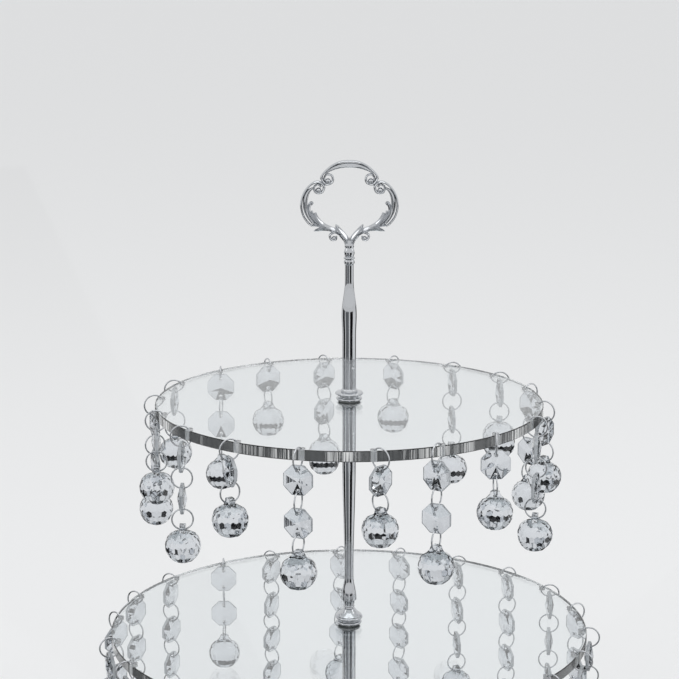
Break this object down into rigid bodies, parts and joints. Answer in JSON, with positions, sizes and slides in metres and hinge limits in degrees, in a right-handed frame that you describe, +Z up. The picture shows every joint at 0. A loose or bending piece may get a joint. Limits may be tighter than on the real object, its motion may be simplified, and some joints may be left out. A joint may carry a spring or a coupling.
{
  "type": "tiered cake stand",
  "caption": "Tiered stand with round clear trays on a turned metal stem, an openwork scroll grip on top, and strings of faceted glass beads swinging from rings at the tray edges.",
  "frame": {"origin": "on the stem's axis, at the level the feet rest on", "axes": "+Z up along the stem, -Y towards the front, +X to the right"},
  "size_m": [0.3, 0.3, 0.3779],
  "materials": {
    "chrome_plate": "polished plate",
    "bright_steel": "zinc plated",
    "clear_acrylic": "clear, polished edge",
    "clear_gasket": "clear, soft",
    "clear_rubber": "clear, soft",
    "crystal": "cut and polished"
  },
  "bodies": {
    "stand": {"grip": "chrome_plate", "grip_stud": "bright_steel", "finial_socket": "chrome_plate", "upper_rod": "chrome_plate", "middle_rod": "chrome_plate", "lower_rod": "chrome_plate", "upper_collar": "chrome_plate", "middle_collar": "chrome_plate", "base_collar": "chrome_plate", "middle_flared_foot": "chrome_plate", "lower_flared_foot": "chrome_plate", "upper_stud": "bright_steel", "middle_stud": "bright_steel", "base_screw": "bright_steel", "base_washer": "bright_steel", "gaskets": "clear_gasket", "upper_tray": "clear_acrylic", "middle_tray": "clear_acrylic", "base_tray": "clear_acrylic", "rubber_feet": "clear_rubber"},
    "upper_string_01": {"upper_string_01": "crystal"},
    "upper_string_02": {"upper_string_02": "crystal"},
    "upper_string_03": {"upper_string_03": "crystal"},
    "upper_string_04": {"upper_string_04": "crystal"},
    "upper_string_05": {"upper_string_05": "crystal"},
    "upper_string_06": {"upper_string_06": "crystal"},
    "upper_string_07": {"upper_string_07": "crystal"},
    "upper_string_08": {"upper_string_08": "crystal"},
    "upper_string_09": {"upper_string_09": "crystal"},
    "upper_string_10": {"upper_string_10": "crystal"},
    "upper_string_11": {"upper_string_11": "crystal"},
    "upper_string_12": {"upper_string_12": "crystal"},
    "upper_string_13": {"upper_string_13": "crystal"},
    "upper_string_14": {"upper_string_14": "crystal"},
    "upper_string_15": {"upper_string_15": "crystal"},
    "upper_string_16": {"upper_string_16": "crystal"},
    "upper_string_17": {"upper_string_17": "crystal"},
    "upper_string_18": {"upper_string_18": "crystal"},
    "middle_string_01": {"middle_string_01": "crystal"},
    "middle_string_02": {"middle_string_02": "crystal"},
    "middle_string_03": {"middle_string_03": "crystal"},
    "middle_string_04": {"middle_string_04": "crystal"},
    "middle_string_05": {"middle_string_05": "crystal"},
    "middle_string_06": {"middle_string_06": "crystal"},
    "middle_string_07": {"middle_string_07": "crystal"},
    "middle_string_08": {"middle_string_08": "crystal"},
    "middle_string_09": {"middle_string_09": "crystal"},
    "middle_string_10": {"middle_string_10": "crystal"},
    "middle_string_11": {"middle_string_11": "crystal"},
    "middle_string_12": {"middle_string_12": "crystal"},
    "middle_string_13": {"middle_string_13": "crystal"},
    "middle_string_14": {"middle_string_14": "crystal"},
    "middle_string_15": {"middle_string_15": "crystal"},
    "middle_string_16": {"middle_string_16": "crystal"},
    "middle_string_17": {"middle_string_17": "crystal"},
    "middle_string_18": {"middle_string_18": "crystal"},
    "middle_string_19": {"middle_string_19": "crystal"},
    "middle_string_20": {"middle_string_20": "crystal"},
    "middle_string_21": {"middle_string_21": "crystal"},
    "middle_string_22": {"middle_string_22": "crystal"}
  },
  "joints": [
    {"name": "upper_hook_01", "type": "hinge", "parent": "stand", "child": "upper_string_01", "pos_m": [0.01427, -0.09937, 0.24953], "axis": [-0.6494, -0.7604, 0], "range_deg": [-20, 15]},
    {"name": "upper_hook_02", "type": "hinge", "parent": "stand", "child": "upper_string_02", "pos_m": [0.04119, -0.09069, 0.24953], "axis": [-0.8616, 0.5075, 0], "range_deg": [-20, 20]},
    {"name": "upper_hook_03", "type": "hinge", "parent": "stand", "child": "upper_string_03", "pos_m": [0.07054, -0.07121, 0.24953], "axis": [-1, -0.0087, 0], "range_deg": [-20, 60]},
    {"name": "upper_hook_04", "type": "hinge", "parent": "stand", "child": "upper_string_04", "pos_m": [0.09335, -0.03962, 0.24953], "axis": [-0.1994, -0.9799, 0], "range_deg": [-20, 60]},
    {"name": "upper_hook_05", "type": "hinge", "parent": "stand", "child": "upper_string_05", "pos_m": [0.1006, -0.00831, 0.24953], "axis": [-0.5519, -0.8339, 0], "range_deg": [-20, 60]},
    {"name": "upper_hook_06", "type": "hinge", "parent": "stand", "child": "upper_string_06", "pos_m": [0.09647, 0.0304, 0.24953], "axis": [0.6494, -0.7604, 0], "range_deg": [-20, 35]},
    {"name": "upper_hook_07", "type": "hinge", "parent": "stand", "child": "upper_string_07", "pos_m": [0.08243, 0.05785, 0.24953], "axis": [0.0087, -1, 0], "range_deg": [-20, 40]},
    {"name": "upper_hook_08", "type": "hinge", "parent": "stand", "child": "upper_string_08", "pos_m": [0.05785, 0.08198, 0.24953], "axis": [0.2164, -0.9763, 0], "range_deg": [-20, 60]},
    {"name": "upper_hook_09", "type": "hinge", "parent": "stand", "child": "upper_string_09", "pos_m": [0.02543, 0.09783, 0.24953], "axis": [0.7716, -0.6361, 0], "range_deg": [-20, 60]},
    {"name": "upper_hook_10", "type": "hinge", "parent": "stand", "child": "upper_string_10", "pos_m": [-0.01374, 0.09989, 0.24953], "axis": [0.7716, 0.6361, 0], "range_deg": [-20, 60]},
    {"name": "upper_hook_11", "type": "hinge", "parent": "stand", "child": "upper_string_11", "pos_m": [-0.04515, 0.0909, 0.24953], "axis": [0.91, 0.4147, 0], "range_deg": [-20, 55]},
    {"name": "upper_hook_12", "type": "hinge", "parent": "stand", "child": "upper_string_12", "pos_m": [-0.07054, 0.07121, 0.24953], "axis": [1, 0.0087, 0], "range_deg": [-20, 55]},
    {"name": "upper_hook_13", "type": "hinge", "parent": "stand", "child": "upper_string_13", "pos_m": [-0.09344, 0.0388, 0.24953], "axis": [0.0087, 1, 0], "range_deg": [-20, 60]},
    {"name": "upper_hook_14", "type": "hinge", "parent": "stand", "child": "upper_string_14", "pos_m": [-0.10114, 0.00471, 0.24953], "axis": [-0.284, 0.9588, 0], "range_deg": [-20, 60]},
    {"name": "upper_hook_15", "type": "hinge", "parent": "stand", "child": "upper_string_15", "pos_m": [-0.09749, -0.02779, 0.24953], "axis": [-0.0436, 0.999, 0], "range_deg": [-20, 60]},
    {"name": "upper_hook_16", "type": "hinge", "parent": "stand", "child": "upper_string_16", "pos_m": [-0.08243, -0.05785, 0.24953], "axis": [-0.0087, 1, 0], "range_deg": [-20, 60]},
    {"name": "upper_hook_17", "type": "hinge", "parent": "stand", "child": "upper_string_17", "pos_m": [-0.05743, -0.08311, 0.24953], "axis": [-0.4772, 0.8788, 0], "range_deg": [-20, 60]},
    {"name": "upper_hook_18", "type": "hinge", "parent": "stand", "child": "upper_string_18", "pos_m": [-0.02447, -0.09843, 0.24953], "axis": [-0.91, 0.4147, 0], "range_deg": [-20, 60]},
    {"name": "middle_hook_01", "type": "hinge", "parent": "stand", "child": "middle_string_01", "pos_m": [0.00817, -0.12621, 0.12803], "axis": [-0.9863, -0.165, 0], "range_deg": [-20, 60]},
    {"name": "middle_hook_02", "type": "hinge", "parent": "stand", "child": "middle_string_02", "pos_m": [0.04255, -0.1191, 0.12803], "axis": [-0.9709, -0.2396, 0], "range_deg": [-20, 60]},
    {"name": "middle_hook_03", "type": "hinge", "parent": "stand", "child": "middle_string_03", "pos_m": [0.07511, -0.10176, 0.12803], "axis": [-0.7405, -0.6721, 0], "range_deg": [-20, 60]},
    {"name": "middle_hook_04", "type": "hinge", "parent": "stand", "child": "middle_string_04", "pos_m": [0.10019, -0.07719, 0.12803], "axis": [-0.6872, -0.7265, 0], "range_deg": [-20, 60]},
    {"name": "middle_hook_05", "type": "hinge", "parent": "stand", "child": "middle_string_05", "pos_m": [0.1182, -0.045, 0.12803], "axis": [-0.2596, -0.9657, 0], "range_deg": [-20, 60]},
    {"name": "middle_hook_06", "type": "hinge", "parent": "stand", "child": "middle_string_06", "pos_m": [0.12602, -0.01077, 0.12803], "axis": [-0.1854, -0.9827, 0], "range_deg": [-20, 60]},
    {"name": "middle_hook_07", "type": "hinge", "parent": "stand", "child": "middle_string_07", "pos_m": [0.12348, 0.02674, 0.12803], "axis": [0.4646, -0.8855, 0], "range_deg": [-20, 25]},
    {"name": "middle_hook_08", "type": "hinge", "parent": "stand", "child": "middle_string_08", "pos_m": [0.11215, 0.05746, 0.12803], "axis": [0.0008, -1, 0], "range_deg": [-20, 30]},
    {"name": "middle_hook_09", "type": "hinge", "parent": "stand", "child": "middle_string_09", "pos_m": [0.09121, 0.08729, 0.12803], "axis": [0.4132, -0.9106, 0], "range_deg": [-20, 60]},
    {"name": "middle_hook_10", "type": "hinge", "parent": "stand", "child": "middle_string_10", "pos_m": [0.06381, 0.10781, 0.12803], "axis": [0.2718, -0.9623, 0], "range_deg": [-20, 60]},
    {"name": "middle_hook_11", "type": "hinge", "parent": "stand", "child": "middle_string_11", "pos_m": [0.03024, 0.12218, 0.12803], "axis": [0.7088, -0.7054, 0], "range_deg": [-20, 60]},
    {"name": "middle_hook_12", "type": "hinge", "parent": "stand", "child": "middle_string_12", "pos_m": [-0.00467, 0.12524, 0.12803], "axis": [0.7604, -0.6494, 0], "range_deg": [-10, 60]},
    {"name": "middle_hook_13", "type": "hinge", "parent": "stand", "child": "middle_string_13", "pos_m": [-0.04508, 0.11734, 0.12803], "axis": [0.5612, 0.8277, 0], "range_deg": [-15, 15]},
    {"name": "middle_hook_14", "type": "hinge", "parent": "stand", "child": "middle_string_14", "pos_m": [-0.07224, 0.10288, 0.12803], "axis": [1, 0.004, 0], "range_deg": [-20, 20]},
    {"name": "middle_hook_15", "type": "hinge", "parent": "stand", "child": "middle_string_15", "pos_m": [-0.10081, 0.07635, 0.12803], "axis": [0.491, 0.8711, 0], "range_deg": [-20, 60]},
    {"name": "middle_hook_16", "type": "hinge", "parent": "stand", "child": "middle_string_16", "pos_m": [-0.11765, 0.04623, 0.12803], "axis": [0.5453, 0.8382, 0], "range_deg": [-20, 60]},
    {"name": "middle_hook_17", "type": "hinge", "parent": "stand", "child": "middle_string_17", "pos_m": [-0.12495, 0.01289, 0.12803], "axis": [0.6779, 0.7351, 0], "range_deg": [-15, 60]},
    {"name": "middle_hook_18", "type": "hinge", "parent": "stand", "child": "middle_string_18", "pos_m": [-0.12377, -0.02605, 0.12803], "axis": [-0.3037, 0.9528, 0], "range_deg": [-20, 60]},
    {"name": "middle_hook_19", "type": "hinge", "parent": "stand", "child": "middle_string_19", "pos_m": [-0.11184, -0.05907, 0.12803], "axis": [-0.3753, 0.9269, 0], "range_deg": [-20, 60]},
    {"name": "middle_hook_20", "type": "hinge", "parent": "stand", "child": "middle_string_20", "pos_m": [-0.09004, -0.08883, 0.12803], "axis": [-0.7706, 0.6373, 0], "range_deg": [-20, 60]},
    {"name": "middle_hook_21", "type": "hinge", "parent": "stand", "child": "middle_string_21", "pos_m": [-0.06215, -0.11016, 0.12803], "axis": [-0.8169, 0.5768, 0], "range_deg": [-20, 60]},
    {"name": "middle_hook_22", "type": "hinge", "parent": "stand", "child": "middle_string_22", "pos_m": [-0.02772, -0.1234, 0.12803], "axis": [-0.9928, 0.1195, 0], "range_deg": [-20, 60]}
  ]
}
